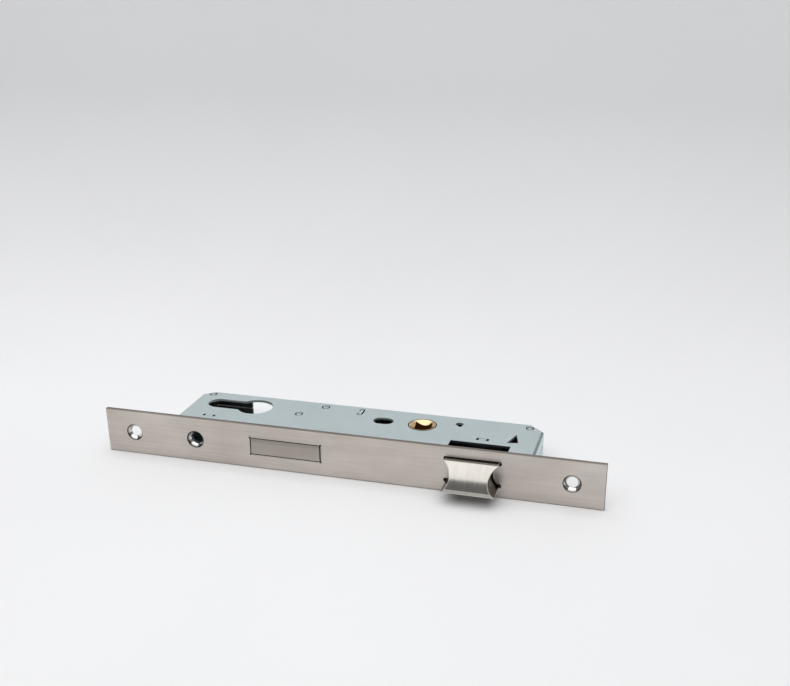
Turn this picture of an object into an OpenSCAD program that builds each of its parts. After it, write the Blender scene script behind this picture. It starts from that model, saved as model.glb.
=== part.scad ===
// Narrow-stile mortise lock: sprung latch, square follower and single deadbolt
// X runs along the faceplate, Y into the door, Z across the door's thickness.
// The origin is the centre of the faceplate's rear face, midway between its two fixing screws.
// The modules measure Y from the faceplate's front, and the last lines move the whole lock back by its thickness.

/* [Faceplate] */
// Length of the faceplate
plate_l = 240; // [236:1:260]
// Width of the faceplate
plate_w = 22; // [20:1:25]
// Thickness of the faceplate
plate_t = 2; // [2:0.1:2.2]
// Distance between the two fixing screws
screw_spacing = 211; // [205:1:224]
// Diameter of each fixing hole
screw_d = 5; // [4.2:0.1:5.4]
// Diameter of each countersink
csk_d = 8.3; // [7.8:0.1:9]
// Diameter of the cylinder screw's hole
cyl_screw_d = 5.4; // [5.2:0.1:5.6]

/* [Case] */
// Distance from the faceplate's front to the follower and cylinder axes
backset = 28; // [28:0.1:28.2]
// Distance between the follower's axis and the cylinder's axis
centres = 85; // [84.8:0.1:85.2]
// Depth of the case from the faceplate's front
case_depth = 42; // [42:0.1:43]
// Thickness of the case
case_w = 15; // [15:0.1:15.6]
// Thickness of the case's sheet
sheet = 1.2; // [1:0.1:1.2]
// Outer radius of the folded edges
fold_r = 1.5; // [1.3:0.1:1.8]
// Gap between the two shells at their seam
seam = 0.5; // [0.1:0.1:0.6]

/* [Euro cylinder cut-out] */
// Diameter of the round part
euro_d = 17.3; // [17:0.1:17.6]
// Width of the slot part
euro_slot = 10.5; // [10.2:0.1:10.8]
// Overall height of the cut-out
euro_h = 33.4; // [33:0.1:33.8]

/* [Latch] */
// How far the latch stands out of the faceplate
latch_out = 11.1; // [10.5:0.1:11.2]
// Width of the latch head along the faceplate
latch_w = 24.6; // [24:0.1:24.8]
// Thickness of the latch head
latch_h = 12; // [11.6:0.1:12]
// Width of the latch head at its waist
latch_waist = 17.5; // [17.2:0.1:17.9]
// Bulge of the latch's ramp
ramp_bulge = 1; // [0.5:0.1:1.4]

/* [Deadbolt] */
// Width of the deadbolt along the faceplate
bolt_w = 34.2; // [33.8:0.1:34.4]
// Thickness of the deadbolt
bolt_h = 7.9; // [7.6:0.1:8]
// How far the deadbolt is thrown
bolt_throw = 14; // [12:0.5:14]

/* [Follower] */
// Size of the spindle's square hole
square = 8; // [7:0.5:8]
// Diameter of the follower's bearing collars
hub_d = 13.6; // [13.4:0.1:13.6]
// Angle that the handle turns through
turn = 34; // [30:1:34]

/* [Hidden] */
$fn = 64;
e = 0.01;

// main axes
fx = 31.13;                 // follower
cx = fx - centres;          // cylinder
lx = 61.35;                 // latch
bx = -27.63;                // deadbolt's window
bolt_x = bx - 0.2;          // deadbolt, a little off the window's centre
cyl_screw_x = cx + euro_d/2 - euro_h + euro_slot/2;
hz = case_w/2;              // half thickness of the case
iz = hz - sheet;            // half of the room inside
seam_z = 0.5;               // height of the shells' seam

// case outline
xl = -86.5;
xr = 87.6;
y0 = plate_t;
yd = case_depth;
left_leg = [5.9, 4.4];
right_leg = [6.95, 6.8];

// riveted posts
guide_post = [-30, 25.4];
tumbler_post_at = [-20, 36.5];
corners = [[-80.9, 38], [80.8, 36.9]];
guide_post_r = 1.9;
tumbler_post_r = 2;
corner_r = 1.85;

// staked tabs: slot in the flank as [centre x, centre y, size x, size y]
bracket_slot = [-71.6, 12.7, 6.2, 1.9];
guide_slot = [61.9, 19.1, 5.9, 2.2];
abut_slot = [-1.2, 35.2];     // D-shaped, rounded towards the latch

// latch
lock_rear = 6.7;            // rear of the latch head
stem_r = 2.2;
guide_y = [18.1, 20.1];
yoke_y = [24.2, 26.2];
pocket_floor = -0.5;
waist_cut_r = 6.6;
latch_drop = 0.15;          // the latch head sits a little low in its window
waist_cut_x = latch_waist/2 + waist_cut_r;

// follower
arm_r = 19;
arm_a0 = -turn/2;
arm_pin_r = 1.6;
lobe_r = 8.6;
lobe_a0 = 90 - turn/2;
lobe_pin_r = 1.25;
cheek_z = [2.2, 3.7];
flat = 6.2;                 // half distance across the hub's two flats

// return spring
rod_y = 36.4;
rod_r = 1.25;

// deadbolt
tail_z = 1.5;
bolt_front = 0.2;
bolt_drop = 0.1;
bolt_rear = 19;
tail_front = 13;
rivet_x = [-36, -19];
rivet_r = 1.5;
tumbler_z = [2, 3.5];
stump = [-20.9, 24.6];
stump_r = 1.4;
lift = 2.5;

function leg_n(leg) = [leg[1], leg[0]]/norm(leg);
function side_y(i, leg) = yd - leg[1] - i*(1 - leg_n(leg)[0])/leg_n(leg)[1];
function rear_x(i, leg) = (i + (leg[1] - i)*leg_n(leg)[1])/leg_n(leg)[0];
// outline of the case, moved inwards by i on every side but the front
function outline(i, front) = [
  [xl + i, front], [xr - i, front], [xr - i, side_y(i, right_leg)], [xr - rear_x(i, right_leg), yd - i],
  [xl + rear_x(i, left_leg), yd - i], [xl + i, side_y(i, left_leg)]];
function polar(r, a) = [r*cos(a), r*sin(a)];
function ease(t) = t*t*(3 - 2*t);

module along_y(a, b) translate([0, b, 0]) rotate([90, 0, 0]) linear_extrude(b - a) children();
module along_x(a, b) translate([a, 0, 0]) rotate([90, 0, 90]) linear_extrude(b - a) children();
module slab(a, b) translate([0, 0, a]) linear_extrude(b - a) children();
module box(x0, x1, ya, yb, z0, z1) translate([x0, ya, z0]) cube([x1 - x0, yb - ya, z1 - z0]);
module slot2d(s) translate([s[0], s[1]]) square([s[2], s[3]], center = true);

// helical compression spring along +Z with closed ends, centred on the axis
module coil(mean_r, wire_r, length, turns, sides = 8, per_turn = 14) {
  n = round(turns*per_turn);
  dead = 2.1*wire_r;
  function height(k) = let(t = k/per_turn, free = turns - 2)
    t < 1 ? dead*t : t > turns - 1 ? length - 2*wire_r - dead*(turns - t)
    : dead + (length - 2*wire_r - 2*dead)*(t - 1)/free;
  pts = [for (k = [0:n]) for (s = [0:sides - 1]) let(a = 360*k/per_turn, b = 360*s/sides, r = mean_r + wire_r*cos(b))
    [r*cos(a), r*sin(a), wire_r + height(k) + wire_r*sin(b)]];
  sidefaces = [for (k = [0:n - 1]) for (s = [0:sides - 1]) let(a = k*sides + s, b = k*sides + (s + 1)%sides)
    [a, b, b + sides, a + sides]];
  caps = [[for (s = [sides - 1:-1:0]) s], [for (s = [0:sides - 1]) n*sides + s]];
  polyhedron(pts, concat([for (f = sidefaces) [f[0], f[1], f[2]]], [for (f = sidefaces) [f[0], f[2], f[3]]],
    [for (s = [1:sides - 2]) [0, s + 1, s]], [for (s = [1:sides - 2]) [n*sides, n*sides + s, n*sides + s + 1]]));
}

// section of the latch head or of its window, half sizes hw and hh, clearance c
module latch_section(hw, hh, c) difference() {
  square([2*hw, 2*hh], center = true);
  for (s = [-1, 1]) translate([s*waist_cut_x, 0]) circle(waist_cut_r - c);
}
// rounds the four horns of the head's section
module horn_cuts(hw, hh, r) for (s = [-1, 1], t = [-1, 1]) translate([s*(hw - r), t*(hh - r)]) difference() {
  translate([s*r, t*r]) square(2*r, center = true);
  circle(r);
}
module latch_window2d() {
  hw = latch_w/2 + 0.9;
  hh = latch_h/2 + 0.4;
  difference() {
    latch_section(hw, hh, 0.5);
    horn_cuts(hw, hh, 1);
  }
  for (s = [-1, 1], t = [-1, 1]) translate([s*(hw - 1), t*(hh - 1)]) circle(1);
}

module abut_slot2d() translate(abut_slot) {
  translate([-1.2, -3.5]) square([0.95, 7]);
  translate([-1, -2.1]) square([2.15, 4.2]);
  for (s = [-1, 1]) translate([-0.25, s*2.1]) circle(1.4);
}

module euro2d() {
  translate([cx, backset]) circle(euro_d/2);
  translate([cyl_screw_x, backset]) circle(euro_slot/2);
  translate([cyl_screw_x, backset - euro_slot/2]) square([cx - cyl_screw_x, euro_slot]);
}

module obround(at, l, w) translate(at) {
  square([l - w, w], center = true);
  for (s = [-1, 1]) translate([s*(l - w)/2, 0]) circle(w/2);
}

// ---------- the fixed body ----------

module faceplate() color([0.72, 0.69, 0.66]) difference() {
  hull() {
    box(-plate_l/2, plate_l/2, 0.2, plate_t - 0.15, -plate_w/2, plate_w/2);
    box(-plate_l/2 + 0.2, plate_l/2 - 0.2, 0, plate_t, -plate_w/2 + 0.2, plate_w/2 - 0.2);
  }
  for (s = [-1, 1]) translate([s*screw_spacing/2, 0, 0]) countersunk(screw_d, csk_d);
  translate([cyl_screw_x, 0, 0]) countersunk(cyl_screw_d, csk_d + 0.4);
  translate([bx, 0, 0]) along_y(-1, plate_t + 1) {
    square([bolt_w + 1, bolt_h + 0.7], center = true);
    for (a = [-1, 1], b = [-1, 1]) translate([a*(bolt_w + 1)/2, b*(bolt_h + 0.7)/2]) circle(0.4);
  }
  translate([lx, 0, 0]) along_y(-1, plate_t + 1) latch_window2d();
}

module countersunk(d, head) rotate([-90, 0, 0]) {
  translate([0, 0, -1]) cylinder(d = d, h = plate_t + 2);
  translate([0, 0, -1]) cylinder(d1 = head + 2, d2 = d, h = 1 + (head - d)/2);
}

module shell_blank() difference() {
  hull() {
    translate([0, 0, 0]) linear_extrude(e) polygon(outline(0, y0));
    for (a = [0:15:90]) translate([0, 0, hz - fold_r + fold_r*sin(a) - e]) linear_extrude(e)
      polygon(outline(fold_r*(1 - cos(a)), y0));
  }
  translate([0, 0, -1]) linear_extrude(1 + iz) polygon(outline(sheet, y0 - 1));
}

module flank_holes(tabs_gap) {
  euro2d();
  translate([fx, backset]) circle(hub_d/2 + 0.08);
  obround([12, 27.8], 9.8, 7.2);
  translate([47.9, 33.3]) circle(1.9);
  polygon([[46.1, 32.7], [49.75, 32.9], [49.15, 30.3], [48.45, 30.2]]);
  translate(guide_post) circle(guide_post_r + tabs_gap);
  translate(tumbler_post_at) circle(tumbler_post_r + tabs_gap);
  for (c = corners) translate(c) circle(corner_r + tabs_gap);
  slot2d(guide_slot);
  abut_slot2d();
  translate([47.9, 4.5]) square([27.7, 10.3]);
}

module case_cover() color([0.71, 0.77, 0.78]) difference() {
  shell_blank();
  translate([0, 0, -1]) linear_extrude(1 + seam_z + seam/2) polygon(outline(-5, y0 - 5));
  slab(iz - 1, hz + 1) { flank_holes(0.1); slot2d(bracket_slot); polygon([[76, 28.5], [78.3, 19.4], [73.2, 18.3]]); }
  box(-61.3, -46.4, yd - 3, yd + 1, -1, iz - 0.1);
}

module case_base() color([0.71, 0.77, 0.78]) difference() {
  union() {
    mirror([0, 0, 1]) shell_blank();
    difference() {
      linear_extrude(seam_z - seam/2) polygon(outline(0, y0));
      translate([0, 0, -1]) linear_extrude(3) polygon(outline(sheet, y0 - 1));
    }
  }
  slab(-hz - 1, -iz + 1) flank_holes(0.1);
  box(-61.3, -46.4, yd - 3, yd + 1, -iz + 0.1, 1);
}

module lower_bracket() color([0.66, 0.68, 0.7]) difference() {
  union() {
    box(-84, -63, y0, y0 + 1.6, -iz, iz - 0.1);
    box(-84, -63, y0, 13.5, -iz, -iz + 1.5);
    box(-84, -63, 11.9, 13.5, -iz, iz);
    box(bracket_slot[0] - 1.9, bracket_slot[0] + 1.9, 11.9, 13.5, iz - 1, hz);
  }
  translate([cyl_screw_x, 0, 0]) rotate([-90, 0, 0]) cylinder(r = 2.9, h = 20);
}

module upper_bracket() color([0.66, 0.68, 0.7]) {
  box(77.5, xr - sheet, y0, y0 + 1.6, -iz, iz - 0.1);
  box(xr - sheet - 1.6, xr - sheet, y0, 15, -iz, iz - 0.1);
}

module latch_guide() color([0.66, 0.68, 0.7]) difference() {
  union() {
    box(53.5, 71, guide_y[0], guide_y[1], -iz, iz);
    box(guide_slot[0] - 1.75, guide_slot[0] + 1.75, guide_y[0] + 0.1, guide_y[1] - 0.1, -hz, hz);
  }
  translate([lx, 10, 0]) rotate([-90, 0, 0]) cylinder(r = stem_r + 0.15, h = 20);
}

module spring_abutment() color([0.66, 0.68, 0.7]) difference() {
  union() {
    box(-2.3, -0.3, 30.6, 40.6, -iz, iz);
    box(-2.3, -0.85, abut_slot[1] - 2.9, abut_slot[1] + 2.9, -hz, hz);
  }
  translate([-5, rod_y, 0]) rotate([0, 90, 0]) cylinder(r = rod_r + 0.1, h = 10);
}

module post(at, r, body_r) translate(at) {
  cylinder(r = body_r, h = 2*iz, center = true);
  for (m = [0, 1]) mirror([0, 0, m]) {
    slab(iz, hz - 0.7) circle(r);
    slab(hz - 0.7, hz) circle(r - 0.45);
    translate([0, 0, hz]) cylinder(r1 = r - 0.45, r2 = r - 0.75, h = 0.15);
  }
}

module corner_posts() color([0.74, 0.78, 0.79]) for (c = corners) post(c, corner_r, 1.6);
module bolt_guide_post() color([0.74, 0.78, 0.79]) post(guide_post, guide_post_r, guide_post_r);
module tumbler_post() color([0.74, 0.78, 0.79]) post(tumbler_post_at, tumbler_post_r, tumbler_post_r);

// ---------- deadbolt ----------

module deadbolt_head() color([0.7, 0.68, 0.65]) difference() {
  box(bolt_x - bolt_w/2, bolt_x + bolt_w/2, bolt_front, bolt_rear, -bolt_h/2 - bolt_drop, bolt_h/2 - bolt_drop);
  box(-43.2, -12.8, tail_front, bolt_rear + 1, -tail_z, tail_z);
  for (x = rivet_x) translate([x, 16, 0]) cylinder(r = rivet_r, h = 20, center = true);
}

module deadbolt_tail() color([0.62, 0.63, 0.64]) difference() {
  slab(-tail_z, tail_z) {
    translate([-43, tail_front]) square([30, 22 - tail_front]);
    translate([-43, 21]) square([10.7, 19.4]);
    translate([-27.7, 21]) square([5.1, 16.2]);
  }
  // notch for the cylinder's cam
  box(-44, -38.2, 31.2, 38.8, -5, 5);
  for (x = rivet_x) translate([x, 16, 0]) cylinder(r = rivet_r, h = 20, center = true);
}

module deadbolt_rivets() color([0.6, 0.6, 0.6]) for (x = rivet_x) translate([x, 16, -bolt_drop]) cylinder(r = rivet_r, h = bolt_h, center = true);

module tumbler() color([0.62, 0.63, 0.64]) difference() {
  union() {
    slab(tumbler_z[0], tumbler_z[1]) difference() {
      union() {
        translate([-40, 24]) square([7, 8]);
        translate([-34.5, 21.8]) square([24, 18.4]);
      }
      translate([-16, 21]) square([6, 9]);
      obround([guide_post[0] - lift/2, guide_post[1]], lift + 2*guide_post_r + 0.6, 2*guide_post_r + 0.5);
      obround([tumbler_post_at[0] - lift/2, tumbler_post_at[1]], lift + 2*tumbler_post_r + 0.6, 2*tumbler_post_r + 0.5);
      translate(stump) circle(stump_r);
      translate([-34.5, 34.5]) square([6, 6]);
    }
    box(-12, -10.5, 33.4, 39.4, -3, tumbler_z[1]);
  }
}

module tumbler_stump() color([0.6, 0.6, 0.6]) translate([stump[0], stump[1], -tail_z]) cylinder(r = stump_r, h = tumbler_z[1] + tail_z);

module tumbler_spring() color([0.55, 0.56, 0.57]) translate([-10.5, rod_y, 0]) rotate([0, 90, 0]) coil(2.05, 0.25, 8.2, 7);

// ---------- follower ----------

module hub_section() intersection() {
  circle(hub_d/2);
  square([2*flat, 20], center = true);
}

module follower_hub() color([0.82, 0.64, 0.33]) translate([fx, backset, 0]) difference() {
  union() {
    for (m = [0, 1]) mirror([0, 0, m]) {
      translate([0, 0, cheek_z[1]]) cylinder(d = hub_d, h = iz + 0.5 - cheek_z[1]);
      translate([0, 0, iz]) cylinder(d = hub_d - 0.9, h = sheet + 0.03);
    }
    slab(-cheek_z[1] - e, cheek_z[1] + e) hub_section();
  }
  cube([square, square, 40], center = true);
  for (m = [0, 1]) mirror([0, 0, m]) translate([0, 0, hz - 1.97]) cylinder(r1 = 4, r2 = 6.3, h = 2.3);
}

module cheek2d() difference() {
  union() {
    circle(9.5);
    rotate(arm_a0) polygon([[0, -7], [arm_r, -2.6], [arm_r, 2.6], [0, 7]]);
    translate(polar(arm_r, arm_a0)) circle(2.6);
    translate(polar(lobe_r, lobe_a0)) circle(2.4);
  }
  hub_section();
  translate(polar(arm_r, arm_a0)) circle(arm_pin_r);
  translate(polar(lobe_r, lobe_a0)) circle(lobe_pin_r);
}

module follower_cheeks() color([0.62, 0.63, 0.64]) translate([fx, backset, 0]) for (m = [0, 1]) mirror([0, 0, m])
  slab(cheek_z[0], cheek_z[1]) cheek2d();

module follower_spacers() color([0.66, 0.67, 0.68]) translate([fx, backset, 0]) for (m = [0, 1]) mirror([0, 0, m])
  slab(cheek_z[1], iz - 0.15) difference() { circle(8.6); circle(hub_d/2); }

module follower_arm_pin() color([0.6, 0.6, 0.6]) translate([fx, backset, 0]) translate(polar(arm_r, arm_a0))
  cylinder(r = arm_pin_r, h = 2*cheek_z[1], center = true);
module follower_spring_pin() color([0.6, 0.6, 0.6]) translate([fx, backset, 0]) translate(polar(lobe_r, lobe_a0))
  cylinder(r = lobe_pin_r, h = 2*cheek_z[1], center = true);

module return_rod() color([0.6, 0.6, 0.6]) {
  translate([-1.6, rod_y, 0]) rotate([0, 90, 0]) cylinder(r = rod_r, h = 31.05 + 1.6);
  box(31.05, 32.25, 35.2, 38.4, -1.8, 1.8);
}
module return_collar() color([0.62, 0.63, 0.64]) translate([19.5, rod_y, 0]) rotate([0, 90, 0]) difference() {
  cylinder(r = 3.75, h = 1.5);
  translate([0, 0, -1]) cylinder(r = rod_r, h = 4);
}
module return_spring() color([0.55, 0.56, 0.57]) translate([-0.3, rod_y, 0]) rotate([0, 90, 0]) coil(3.1, 0.55, 19.8, 9);

// ---------- latch ----------

module ramp_profile() {
  a = [-3.2, latch_h/2];
  b = [-latch_out, -latch_h/2 + 1.8];
  chord = norm(b - a);
  r = (chord*chord/4 + ramp_bulge*ramp_bulge)/(2*ramp_bulge);
  d = (b - a)/chord;
  centre = (a + b)/2 + [-d[1], d[0]]*(r - ramp_bulge);
  intersection() {
    translate([-latch_out, -latch_h/2]) square([lock_rear + latch_out, latch_h]);
    union() {
      translate(centre) circle(r);
      translate([a[0], -latch_h]) square([40, 2*latch_h]);
    }
  }
}

module latch_head() color([0.75, 0.74, 0.72]) translate([lx, 0, 0]) difference() {
  intersection() {
    along_y(-latch_out - 1, lock_rear) translate([0, -latch_drop]) difference() {
      latch_section(latch_w/2, latch_h/2, 0);
      horn_cuts(latch_w/2, latch_h/2, 0.4);
    }
    along_x(-20, 20) translate([0, -latch_drop]) ramp_profile();
  }
  translate([0, pocket_floor, 0]) rotate([-90, 0, 0]) cylinder(r = 3.9, h = 20);
  translate([0, -4, 0]) rotate([-90, 0, 0]) cylinder(r = stem_r, h = 20);
}

module latch_stem() color([0.6, 0.6, 0.6]) translate([lx, 0, 0]) rotate([-90, 0, 0]) difference() {
  translate([0, 0, -4]) cylinder(r = stem_r, h = 32.5);
  translate([0, 0, yoke_y[1]]) difference() { cylinder(r = 3, h = 0.8); translate([0, 0, -1]) cylinder(r = 1.7, h = 3); }
}
module latch_stop_bush() color([0.66, 0.67, 0.68]) translate([lx, 0, 0]) rotate([-90, 0, 0])
  slab(guide_y[1] + 0.15, yoke_y[0]) difference() { circle(4.2); circle(stem_r); }
module latch_yoke() color([0.62, 0.63, 0.64]) difference() {
  union() {
    box(46.6, 66, yoke_y[0], yoke_y[1], -1.8, 1.8);
    box(57, 66, yoke_y[0], yoke_y[1], -4.6, 4.6);
  }
  translate([lx, 10, 0]) rotate([-90, 0, 0]) cylinder(r = stem_r, h = 30);
}
module latch_circlip() color([0.4, 0.41, 0.42]) translate([lx, yoke_y[1], 0]) rotate([-90, 0, 0]) linear_extrude(0.8) difference() {
  circle(3.6);
  circle(1.7);
  translate([-1.2, -6]) square([2.4, 6]);
}
module latch_spring() color([0.55, 0.56, 0.57]) translate([lx, pocket_floor, 0]) rotate([-90, 0, 0])
  coil(3.1, 0.35, guide_y[0] - pocket_floor, 8);

// the origin lies on the faceplate's rear face
translate([0, -plate_t, 0]) {
  faceplate();
  case_cover();
  case_base();
  lower_bracket();
  upper_bracket();
  latch_guide();
  spring_abutment();
  corner_posts();
  bolt_guide_post();
  tumbler_post();
  deadbolt_head();
  deadbolt_tail();
  deadbolt_rivets();
  tumbler();
  tumbler_stump();
  tumbler_spring();
  follower_hub();
  follower_cheeks();
  follower_spacers();
  follower_arm_pin();
  follower_spring_pin();
  return_rod();
  return_collar();
  return_spring();
  latch_head();
  latch_stem();
  latch_stop_bush();
  latch_yoke();
  latch_circlip();
  latch_spring();
}
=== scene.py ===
import bpy
import math
from mathutils import Matrix, Vector


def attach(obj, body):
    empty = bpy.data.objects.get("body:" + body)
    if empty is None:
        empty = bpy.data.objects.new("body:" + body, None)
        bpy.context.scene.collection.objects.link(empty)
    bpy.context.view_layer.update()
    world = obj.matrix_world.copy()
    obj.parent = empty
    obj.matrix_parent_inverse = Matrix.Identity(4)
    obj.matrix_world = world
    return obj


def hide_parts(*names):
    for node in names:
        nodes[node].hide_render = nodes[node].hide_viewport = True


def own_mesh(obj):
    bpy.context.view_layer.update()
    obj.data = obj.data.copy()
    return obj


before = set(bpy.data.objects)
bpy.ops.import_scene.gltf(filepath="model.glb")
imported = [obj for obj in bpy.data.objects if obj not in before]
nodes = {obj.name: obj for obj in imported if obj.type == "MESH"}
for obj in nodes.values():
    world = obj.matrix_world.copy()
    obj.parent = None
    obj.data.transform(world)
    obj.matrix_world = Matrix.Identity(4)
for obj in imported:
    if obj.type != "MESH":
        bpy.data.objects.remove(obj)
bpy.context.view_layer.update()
MM = 0.001

# ---------------------------------------------------------------- camera
cam_data = bpy.data.cameras.new("camera")
cam = bpy.data.objects.new("camera", cam_data)
bpy.context.scene.collection.objects.link(cam)
bpy.context.scene.camera = cam
az, el, roll = 0.2836524876, 0.3974268076, -0.0091427553
back = Vector((math.sin(az) * math.cos(el), -math.cos(az) * math.cos(el), math.sin(el)))
fwd = -back
right = fwd.cross(Vector((0, 0, 1))).normalized()
up = right.cross(fwd)
r2 = math.cos(roll) * right + math.sin(roll) * up
u2 = -math.sin(roll) * right + math.cos(roll) * up
cam.matrix_world = Matrix((
    (r2.x, u2.x, -fwd.x, 0.14696613),
    (r2.y, u2.y, -fwd.y, -0.41721388),
    (r2.z, u2.z, -fwd.z, 0.21077163),
    (0, 0, 0, 1)))
cam_data.sensor_width = 36
cam_data.lens = 36 * 1061.4272 / 790
cam_data.shift_y = 60.5 / 790
cam_data.clip_start, cam_data.clip_end = 0.01, 20

# ---------------------------------------------------------------- node helpers
def new_material(name):
    m = bpy.data.materials.new(name)
    m.use_nodes = True
    nt = m.node_tree
    return m, nt, nt.nodes["Principled BSDF"]


def add(nt, kind, **values):
    n = nt.nodes.new(kind)
    for k, v in values.items():
        if k in n.inputs:
            n.inputs[k].default_value = v
        else:
            setattr(n, k, v)
    return n


def coords(nt, scale):
    tc = add(nt, "ShaderNodeTexCoord")
    mp = add(nt, "ShaderNodeMapping")
    mp.inputs["Scale"].default_value = scale
    nt.links.new(tc.outputs["Object"], mp.inputs["Vector"])
    return mp.outputs["Vector"]


def noise(nt, scale, detail=2.0, rough=0.5, size=1.0):
    n = add(nt, "ShaderNodeTexNoise")
    n.inputs["Scale"].default_value = size
    n.inputs["Detail"].default_value = detail
    n.inputs["Roughness"].default_value = rough
    nt.links.new(coords(nt, scale), n.inputs["Vector"])
    return n.outputs["Fac"]


def remap(nt, fac, lo, hi, a=0.3, b=0.7):
    n = add(nt, "ShaderNodeMapRange")
    n.inputs["From Min"].default_value = a
    n.inputs["From Max"].default_value = b
    n.inputs["To Min"].default_value = lo
    n.inputs["To Max"].default_value = hi
    nt.links.new(fac, n.inputs["Value"])
    return n.outputs["Result"]


def ramp(nt, fac, stops):
    n = add(nt, "ShaderNodeValToRGB")
    cr = n.color_ramp
    while len(cr.elements) < len(stops):
        cr.elements.new(0.5)
    for e, (p, c) in zip(cr.elements, stops):
        e.position = p
        e.color = (*c, 1)
    nt.links.new(fac, n.inputs["Fac"])
    return n.outputs["Color"]


def mix(nt, fac, a, b, kind="MIX"):
    n = nt.nodes.new("ShaderNodeMix")
    n.data_type = "RGBA"
    n.blend_type = kind
    for socket, v in ((n.inputs[0], fac), (n.inputs[6], a), (n.inputs[7], b)):
        if hasattr(v, "links") or hasattr(v, "is_output"):
            nt.links.new(v, socket)
        else:
            socket.default_value = (*v, 1) if hasattr(v, "__len__") else v
    return n.outputs[2]


def math_node(nt, op, a, b=None):
    n = add(nt, "ShaderNodeMath", operation=op)
    for socket, v in zip(n.inputs, (a, b)):
        if v is None:
            continue
        if hasattr(v, "is_output"):
            nt.links.new(v, socket)
        else:
            socket.default_value = v
    return n.outputs[0]


def bump(nt, height, distance, strength=1.0, normal=None):
    n = add(nt, "ShaderNodeBump")
    n.inputs["Strength"].default_value = strength
    n.inputs["Distance"].default_value = distance
    nt.links.new(height, n.inputs["Height"])
    if normal is not None:
        nt.links.new(normal, n.inputs["Normal"])
    return n.outputs["Normal"]


def edge_mask(nt, radius, lo=0.02, hi=0.12):
    """1 on a rounded strip along sharp edges, and the strip's own normal"""
    bv = nt.nodes.new("ShaderNodeBevel")
    bv.samples = 6
    bv.inputs["Radius"].default_value = radius
    geo = nt.nodes.new("ShaderNodeNewGeometry")
    dot = nt.nodes.new("ShaderNodeVectorMath")
    dot.operation = "DOT_PRODUCT"
    nt.links.new(bv.outputs["Normal"], dot.inputs[0])
    nt.links.new(geo.outputs["True Normal"], dot.inputs[1])
    turned = math_node(nt, "SUBTRACT", 1.0, dot.outputs["Value"])
    return remap(nt, turned, 0.0, 1.0, lo, hi), bv.outputs["Normal"]


def tint(m, fac):
    """multiplies a material's colour by a value"""
    nt = m.node_tree
    p = nt.nodes["Principled BSDF"]
    src = p.inputs["Base Color"].links[0].from_socket
    comb = nt.nodes.new("ShaderNodeCombineColor")
    for i in range(3):
        nt.links.new(fac, comb.inputs[i])
    nt.links.new(mix(nt, 1.0, src, comb.outputs[0], "MULTIPLY"), p.inputs["Base Color"])


def paint_shade_band(m, axis, start, end, tone):
    """paints shade on a material, darkening it from start to end (mm) along one axis of the lock"""
    nt = m.node_tree
    tc = add(nt, "ShaderNodeTexCoord")
    sep = nt.nodes.new("ShaderNodeSeparateXYZ")
    nt.links.new(tc.outputs["Object"], sep.inputs[0])
    a, b, lo, hi = (start, end, 1.0, tone) if start < end else (end, start, tone, 1.0)
    tint(m, remap(nt, sep.outputs[axis], lo, hi, a * MM, b * MM))


def brushed(name, dark, light, rough, scale, fine, mottle=0.5, depth=2e-6, metallic=1.0, edge=None):
    """Brushed metal: scale stretches the grain along the brushing direction, edge is (radius in mm, colour) of a
    painted edge highlight; every edge also gets a faint painted highlight.
    """
    m, nt, p = new_material(name)
    p.inputs["Metallic"].default_value = metallic
    grain = noise(nt, scale, 3.0, 0.6)
    hair = noise(nt, fine, 2.0, 0.5)
    both = math_node(nt, "ADD", math_node(nt, "MULTIPLY", grain, 0.6), math_node(nt, "MULTIPLY", hair, 0.4))
    cloud = noise(nt, (28, 60, 60), 3.0, 0.55)
    tone = math_node(nt, "ADD", math_node(nt, "MULTIPLY", both, 1 - mottle), math_node(nt, "MULTIPLY", cloud, mottle))
    colour = ramp(nt, tone, [(0.32, dark), (0.68, light)])
    # painted highlight: a lighter colour along a 0.2 mm strip at every sharp edge
    edge_highlighted = mix(nt, math_node(nt, "MULTIPLY", edge_mask(nt, 0.2 * MM)[0], 0.5), colour, tuple(min(1, c * 1.12) for c in light))
    n0 = None
    # painted highlight: the edge colour along a wider strip at the sharp edges
    if edge:
        mask, n0 = edge_mask(nt, edge[0] * MM)
        edge_highlighted = mix(nt, mask, edge_highlighted, edge[1])
        nt.links.new(math_node(nt, "MULTIPLY", math_node(nt, "SUBTRACT", 1.0, math_node(nt, "MULTIPLY", mask, 0.7)), metallic), p.inputs["Metallic"])
    nt.links.new(edge_highlighted, p.inputs["Base Color"])
    nt.links.new(remap(nt, both, rough[0], rough[1]), p.inputs["Roughness"])
    n1 = bump(nt, grain, depth, 1.0, n0)
    nt.links.new(bump(nt, hair, depth * 0.5, 1.0, n1), p.inputs["Normal"])
    return m


# ---------------------------------------------------------------- materials
plate_mat = brushed("plate_brushed", (0.47, 0.425, 0.385), (0.69, 0.635, 0.585), (0.30, 0.44), (22, 900, 900), (60, 3600, 3600), 0.5, 3e-6)
bolt_mat = brushed("bolt_brushed", (0.36, 0.325, 0.29), (0.50, 0.455, 0.41), (0.34, 0.5), (18, 900, 1100), (60, 4200, 5200))
# latch ramp: painted edge highlight, near white, along its sharp edges
latch_mat = brushed("latch_satin", (0.375, 0.355, 0.325), (0.49, 0.47, 0.435), (0.15, 0.24), (1500, 60, 60), (5200, 200, 200), 0.35, 0.8e-6, 1.0, (0.75, (0.95, 0.93, 0.89)))
# latch sides and back: a darker copy of the latch steel as painted shade, with a painted edge highlight
latch_side_shade_mat = brushed("latch_side_painted_shade", (0.13, 0.12, 0.105), (0.36, 0.33, 0.295), (0.16, 0.3), (300, 300, 90), (1800, 1800, 300), 0.5, 6e-6, 1.0, (0.6, (0.92, 0.90, 0.86)))
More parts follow.
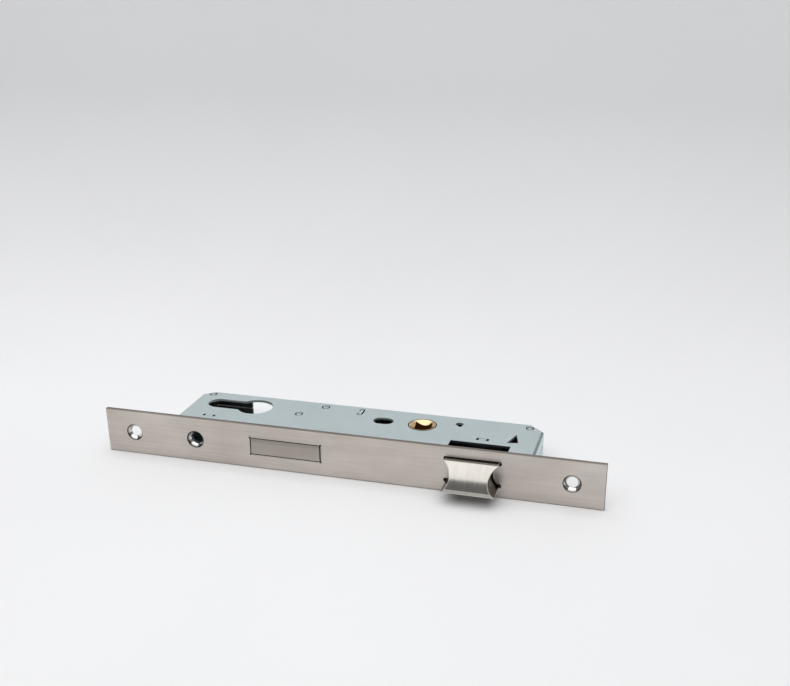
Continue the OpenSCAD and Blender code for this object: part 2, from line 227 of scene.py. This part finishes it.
# bolt sides and back: a darker copy of the bolt steel, painted shade in the gap round the bolt
bolt_side_shade_mat = brushed("bolt_side_painted_shade", (0.12, 0.105, 0.09), (0.24, 0.21, 0.185), (0.4, 0.6), (600, 600, 120), (2600, 2600, 500))
# painted shade: the bolt face darkens towards its top, under the window's upper edge
paint_shade_band(bolt_mat, 2, 1.2, 3.9, 0.74)
# sheared edges: darker than the face, partly the sheared finish and partly painted shade
sheared_and_shade_mat = brushed("sheared_edge_and_painted_shade", (0.16, 0.14, 0.12), (0.30, 0.27, 0.24), (0.4, 0.6), (600, 600, 120), (2600, 2600, 500))
cone_mat = brushed("turned_countersink", (0.62, 0.60, 0.58), (0.74, 0.72, 0.70), (0.06, 0.14), (900, 900, 900), (3200, 3200, 3200), 0.3, 0.6e-6)


def ring_shade(m, centres, r0, r1, floor_tone):
    """Paints shade on a material towards the rim of holes whose axes run along Y."""
    nt = m.node_tree
    tc = add(nt, "ShaderNodeTexCoord")
    sep = nt.nodes.new("ShaderNodeSeparateXYZ")
    nt.links.new(tc.outputs["Object"], sep.inputs[0])
    best = None
    for x in centres:
        dx = math_node(nt, "SUBTRACT", sep.outputs[0], x * MM)
        d = math_node(nt, "SQRT", math_node(nt, "ADD", math_node(nt, "MULTIPLY", dx, dx), math_node(nt, "MULTIPLY", sep.outputs[2], sep.outputs[2])))
        best = d if best is None else math_node(nt, "MINIMUM", best, d)
    tint(m, remap(nt, best, 1.0, floor_tone, r0 * MM, r1 * MM))


# painted shade: the countersinks darken towards their outer rim
ring_shade(cone_mat, (-105.5, -73.37, 105.5), 3.2, 4.0, 0.07)
post_mat = brushed("rivet_end", (0.40, 0.44, 0.45), (0.54, 0.58, 0.59), (0.35, 0.5), (900, 900, 900), (3000, 3000, 3000))
inner_mat = brushed("inner_steel", (0.10, 0.10, 0.105), (0.20, 0.20, 0.205), (0.32, 0.5), (900, 60, 900), (3000, 400, 3000))
spring_mat = brushed("spring_wire", (0.42, 0.42, 0.43), (0.60, 0.60, 0.61), (0.25, 0.38), (2000, 2000, 2000), (6000, 6000, 6000))
brass_mat = brushed("brass_turned", (0.62, 0.42, 0.22), (0.78, 0.58, 0.36), (0.14, 0.26), (1400, 1400, 400), (5200, 5200, 1600), 0.3, 1.0e-6)


def zinc(name, painted_light_factor=1.0):
    m, nt, p = new_material(name)
    p.inputs["Metallic"].default_value = 0.85
    cloud = noise(nt, (45, 45, 45), 4.0, 0.6)
    spangle = noise(nt, (420, 420, 420), 3.0, 0.6)
    fine = noise(nt, (2600, 2600, 2600), 2.0, 0.5)
    tone = math_node(nt, "ADD", math_node(nt, "MULTIPLY", cloud, 0.55), math_node(nt, "MULTIPLY", spangle, 0.45))
    stops = [(0.30, (0.50, 0.585, 0.60)), (0.52, (0.555, 0.63, 0.64)), (0.72, (0.60, 0.655, 0.68))]
    colour = ramp(nt, tone, [(q, tuple(v * painted_light_factor for v in c)) for q, c in stops])
    # painted highlight: a lighter zinc along a 0.2 mm strip at every sharp edge
    edge_highlighted = mix(nt, math_node(nt, "MULTIPLY", edge_mask(nt, 0.2 * MM)[0], 0.4), colour, tuple(v * painted_light_factor for v in (0.74, 0.78, 0.79)))
    nt.links.new(edge_highlighted, p.inputs["Base Color"])
    nt.links.new(remap(nt, spangle, 0.40, 0.54), p.inputs["Roughness"])
    n1 = bump(nt, fine, 1.5e-6, 1.0)
    nt.links.new(bump(nt, spangle, 4e-6, 0.6, n1), p.inputs["Normal"])
    return m


zinc_mat = zinc("zinc_sheet")
# painted light: a brighter copy of the zinc on the folded outer walls
wall_painted_light_mat = zinc("zinc_folded_wall_painted_light", 1.18)
# painted shade: a darker copy of the zinc on the fold
fold_painted_shade_mat = zinc("zinc_fold_painted_shade", 0.5)
# near-black: the inner steel parts' own dark oiled colour, and painted shade on the shells' insides, hole and window
# walls, the hub's collar and the posts' shoulders
shade_mat = brushed("oiled_steel_and_painted_shade", (0.035, 0.035, 0.037), (0.085, 0.085, 0.088), (0.35, 0.55), (900, 900, 300), (3000, 3000, 900), 0.5, 2e-6, 0.6)

assign = {
    "faceplate": plate_mat, "deadbolt_head": bolt_mat, "latch_head": latch_mat,
    "case_cover": zinc_mat, "case_base": zinc_mat, "lower_bracket": zinc_mat, "upper_bracket": zinc_mat,
    "latch_guide": zinc_mat, "spring_abutment": zinc_mat, "deadbolt_tail": shade_mat, "tumbler": shade_mat,
    "follower_cheeks": shade_mat, "follower_spacers": shade_mat,
    "corner_posts": post_mat, "bolt_guide_post": post_mat, "tumbler_post": post_mat,
    "follower_hub": brass_mat, "latch_circlip": spring_mat,
    "tumbler_spring": spring_mat, "return_spring": spring_mat, "latch_spring": spring_mat,
}



def pick_plate(c, n):
    """0 face, 1 outer sheared edges, 2 countersinks and hole walls, 3 walls of the windows and middle holes in
    painted shade
    """
    for x in (-105.5, -73.37, 105.5):
        if math.hypot(c.x - x, c.z) < 4.4 and abs(n.y) < 0.95:
            return 2
    if abs(n.y) > 0.9:
        return 0
    return 3 if abs(c.z) < 7.5 and abs(c.x) < 90 else 1


def pick_latch(c, n):
    """0 land, ramp and lip, 1 sides and back in a darker copy of the latch steel (painted shade)"""
    return 0 if abs(n.x) < 0.25 and (n.y < -0.1 or n.z > 0.9) else 1


# 0 front face, 1 sides and back in the darker copy (painted shade)
def pick_bolt(c, n):
    return 0 if n.y < -0.9 else 1


posts = ((-30, 23.4), (-20, 34.5), (-80.9, 36), (80.8, 34.9))
slots = ((-71.6, 10.7, 3.4, 1.3), (61.9, 17.1, 3.2, 1.4), (-1.2, 33.2, 1.9, 3.9))


def pick_shell(c, n):
    """0 sheet, 1 inside of the shells and the walls of their small holes (painted shade), 2 folded outer walls
    (painted light), 3 the fold itself (painted shade)
    """
    z = abs(c.z)
    if z < 6.32:
        if abs(n.z) > 0.9:
            return 1
        return 1 if n.x * (c.x - 0.5) + n.y * (c.y - 18) < 0 else 2
    outside = min(c.x + 86.5, 87.6 - c.x, 40 - c.y, (c.x + 86.5) * 0.598 + (40 - c.y) * 0.801 - 3.53, (87.6 - c.x) * 0.699 + (40 - c.y) * 0.715 - 4.86)
    if outside < 1.6 and 0.06 < abs(n.z) < 0.985:
        return 3
    if z < 7.45 and abs(n.z) < 0.5:
        if math.hypot(c.x - 31.13, c.y - 26) < 7.5:
            return 1
        if any(math.hypot(c.x - x, c.y - y) < 2.8 for x, y in posts):
            return 1
        if any(abs(c.x - x) < w and abs(c.y - y) < h for x, y, w, h in slots):
            return 1
        if 47.5 < c.x < 76 and c.y < 14:
            return 1
    return 0


def pick_post(c, n):
    """0 riveted head, 1 its shoulder and shank in painted shade"""
    return 0 if abs(c.z) > 7.3 else 1


def pick_hub(c, n):
    """0 machined face, cone and square, 1 outer rim and collar in painted shade"""
    return 1 if math.hypot(c.x - 31.13, c.y - 26) > 6.1 and abs(c.z) < 7.4 else 0


def pick_inner(c, n):
    """0 staked tab, 1 the rest of a piece inside the case in painted shade"""
    return 0 if abs(c.z) > 7.2 else 1


extra = {
    "case_cover": ((shade_mat, wall_painted_light_mat, fold_painted_shade_mat), pick_shell),
    "case_base": ((shade_mat, wall_painted_light_mat, fold_painted_shade_mat), pick_shell),
    "corner_posts": ((shade_mat,), pick_post),
    "bolt_guide_post": ((shade_mat,), pick_post),
    "tumbler_post": ((shade_mat,), pick_post),
    "follower_hub": ((shade_mat,), pick_hub),
    "latch_guide": ((shade_mat,), pick_inner),
    "spring_abutment": ((shade_mat,), pick_inner),
    "faceplate": ((sheared_and_shade_mat, cone_mat, shade_mat), pick_plate),
    "latch_head": ((latch_side_shade_mat,), pick_latch),
    "deadbolt_head": ((bolt_side_shade_mat,), pick_bolt),
}

bevels = {"faceplate": 0.12, "deadbolt_head": 0.15, "latch_head": 0.25, "case_cover": 0.08, "case_base": 0.08,
          "follower_hub": 0.1, "latch_guide": 0.1, "spring_abutment": 0.1}


def set_shading(me):
    """Narrow facets that turn gently into their neighbours are smooth, flat faces keep their own normal."""
    key = [tuple(round(c * 1e6) for c in v.co) for v in me.vertices]
    edges = {}
    width = []
    for poly in me.polygons:
        vs = [key[i] for i in poly.vertices]
        longest = 1e-9
        for a, b in zip(vs, vs[1:] + vs[:1]):
            edges.setdefault((min(a, b), max(a, b)), []).append(poly.index)
            longest = max(longest, math.dist(a, b) * 1e-6)
        width.append(2 * poly.area / longest)
    lo, hi = math.cos(math.radians(32)), math.cos(math.radians(0.6))
    curved = set()
    for ps in edges.values():
        for i, p in enumerate(ps):
            for q in ps[i + 1:]:
                if lo < me.polygons[p].normal.dot(me.polygons[q].normal) < hi:
                    curved.update((p, q))
    for poly in me.polygons:
        poly.use_smooth = poly.index in curved and width[poly.index] < 0.003
    me.update()


for name, o in nodes.items():
    me = o.data
    me.materials.clear()
    me.materials.append(assign.get(name, inner_mat))
    if name in extra:
        mats, pick = extra[name]
        for m in mats:
            me.materials.append(m)
        for poly in me.polygons:
            poly.material_index = pick(poly.center / MM, poly.normal)
    if name == "latch_head":
        me.shade_smooth()
    else:
        set_shading(me)
    weld = o.modifiers.new("weld", "WELD")
    weld.merge_threshold = 1e-6
    if name in bevels:
        bv = o.modifiers.new("bevel", "BEVEL")
        bv.width = bevels[name] * MM
        bv.segments = 2
        bv.limit_method = "ANGLE"
        bv.angle_limit = math.radians(35)
        bv.harden_normals = False
        bv.use_clamp_overlap = True
    if name == "latch_head":
        wn = o.modifiers.new("normals", "WEIGHTED_NORMAL")
        wn.keep_sharp = False


# ---------------------------------------------------------------- springs
def coil_mesh(name, start, length, mean_r, wire_r, turns, per_turn=40, sides=14):
    """Compression spring along +X or +Y with closed ends, as one tube with its own end caps."""
    axis = start[1]
    origin = Vector(start[0]) * MM
    a = Vector((1, 0, 0)) if axis == "x" else Vector((0, 1, 0))
    b = Vector((0, 0, 1))
    c = a.cross(b)
    n = int(round(turns * per_turn))
    dead = 2.1 * wire_r

    def height(t):
        if t < 1:
            return dead * t
        if t > turns - 1:
            return length - 2 * wire_r - dead * (turns - t)
        return dead + (length - 2 * wire_r - 2 * dead) * (t - 1) / (turns - 2)

    def point(t):
        w = 2 * math.pi * t
        return (a * (wire_r + height(t)) + b * (mean_r * math.sin(w)) + c * (mean_r * math.cos(w))) * MM + origin

    verts, faces = [], []
    for k in range(n + 1):
        t = k / per_turn
        p = point(t)
        tangent = (point(min(t + 0.01, turns)) - point(max(t - 0.01, 0))).normalized()
        w = 2 * math.pi * t
        radial = (b * math.sin(w) + c * math.cos(w)).normalized()
        side = tangent.cross(radial).normalized()
        shrink = 1.0
        for s in range(sides):
            v = 2 * math.pi * s / sides
            verts.append(p + (radial * math.cos(v) + side * math.sin(v)) * wire_r * MM * shrink)
    for k in range(n):
        for s in range(sides):
            i, j = k * sides + s, k * sides + (s + 1) % sides
            faces.append((i, j, j + sides, i + sides))
    faces.append(tuple(range(sides - 1, -1, -1)))
    faces.append(tuple(n * sides + s for s in range(sides)))
    me = bpy.data.meshes.new(name)
    me.from_pydata([tuple(v) for v in verts], [], faces)
    me.validate()
    me.update()
    me.materials.append(spring_mat)
    me.shade_smooth()
    me.set_sharp_from_angle(angle=math.radians(50))
    o = bpy.data.objects.new(name, me)
    bpy.context.scene.collection.objects.link(o)
    return o


lx = 61.35
springs = [
    ("latch_spring_coil", "latch_spring", ((lx, -2.5, 0), "y"), 18.6, 3.1, 0.35, 8, "latch_slide", (0, 1, 0), (lx, 16.1, 0), (18.6 - 11.08) / 18.6),
    ("return_spring_coil", "return_spring", ((-0.3, 34.4, 0), "x"), 19.8, 3.1, 0.55, 9, "return_rod_slide", (1, 0, 0), (-0.3, 34.4, 0), (19.8 - 5.14) / 19.8),
    ("tumbler_spring_coil", "tumbler_spring", ((-10.5, 34.4, 0), "x"), 8.2, 2.05, 0.25, 7, "tumbler_lift", (1, 0, 0), (-2.3, 34.4, 0), (8.2 - 2.5) / 8.2),
]
for name, node, start, length, mean_r, wire_r, turns, joint, axis, anchor, keep in springs:
    coil = coil_mesh(name, start, length, mean_r, wire_r, turns)
    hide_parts(node)
    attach(coil, "case")
    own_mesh(coil)

# ---------------------------------------------------------------- floor and backdrop
tilt = math.radians(5.165)  # the lock leans on the faceplate's lower edge and the case's rear edge
foot = Vector((0, -0.15, -11)) * MM
floor_up = Vector((0, -math.sin(tilt), math.cos(tilt)))
floor_back = Vector((0, math.cos(tilt), math.sin(tilt)))
side = Vector((1, 0, 0))
profile = []
reach, rise, bend = 0.14, 0.36, 0.12
for i in range(8):
    profile.append((-1.2 + (1.2 + reach) * i / 7, 0.0))
for i in range(1, 25):
    t = math.pi / 2 * i / 24
    profile.append((reach + bend * math.sin(t), bend * (1 - math.cos(t))))
for i in range(1, 6):
    profile.append((reach + bend, bend + rise * i / 5))
verts, faces = [], []
for u, v in profile:
    for s in (-2.4, 2.4):
        verts.append(foot - floor_up * 0.00001 + floor_back * u + floor_up * v + side * s)
for i in range(len(profile) - 1):
    faces.append((2 * i, 2 * i + 1, 2 * i + 3, 2 * i + 2))
me = bpy.data.meshes.new("floor")
me.from_pydata([tuple(v) for v in verts], [], faces)
me.update()
me.shade_smooth()
floor = bpy.data.objects.new("floor", me)
bpy.context.scene.collection.objects.link(floor)
fm, fnt, fp = new_material("paper_sweep")
fp.inputs["Roughness"].default_value = 0.75
fp.inputs["Specular IOR Level"].default_value = 0.25
paper = noise(fnt, (5, 5, 5), 2.0, 0.5)
fnt.links.new(ramp(fnt, paper, [(0.3, (0.80, 0.80, 0.805)), (0.7, (0.825, 0.825, 0.83))]), fp.inputs["Base Color"])
fnt.links.new(bump(fnt, noise(fnt, (900, 900, 900), 2.0), 4e-6), fp.inputs["Normal"])
me.materials.append(fm)


# ---------------------------------------------------------------- lights
def area(name, at, aim, size, watts, colour=(1, 1, 1)):
    d = bpy.data.lights.new(name, "AREA")
    d.shape = "RECTANGLE"
    d.size, d.size_y = size
    d.energy = watts
    d.color = colour
    o = bpy.data.objects.new(name, d)
    bpy.context.scene.collection.objects.link(o)
    o.location = at
    o.rotation_mode = "QUATERNION"
    o.rotation_quaternion = (Vector(aim) - Vector(at)).to_track_quat("-Z", "Y")
    return o


area("softbox_top", (-0.08, -0.36, 0.85), (-0.08, -0.36, 0), (1.7, 1.42), 12.4)

world = bpy.data.worlds.new("studio")
bpy.context.scene.world = world
world.use_nodes = True
wbg = world.node_tree.nodes["Background"]
wbg.inputs["Color"].default_value = (0.96, 0.98, 1.0, 1)
wbg.inputs["Strength"].default_value = 0.26

bpy.context.scene.view_settings.view_transform = "Standard"
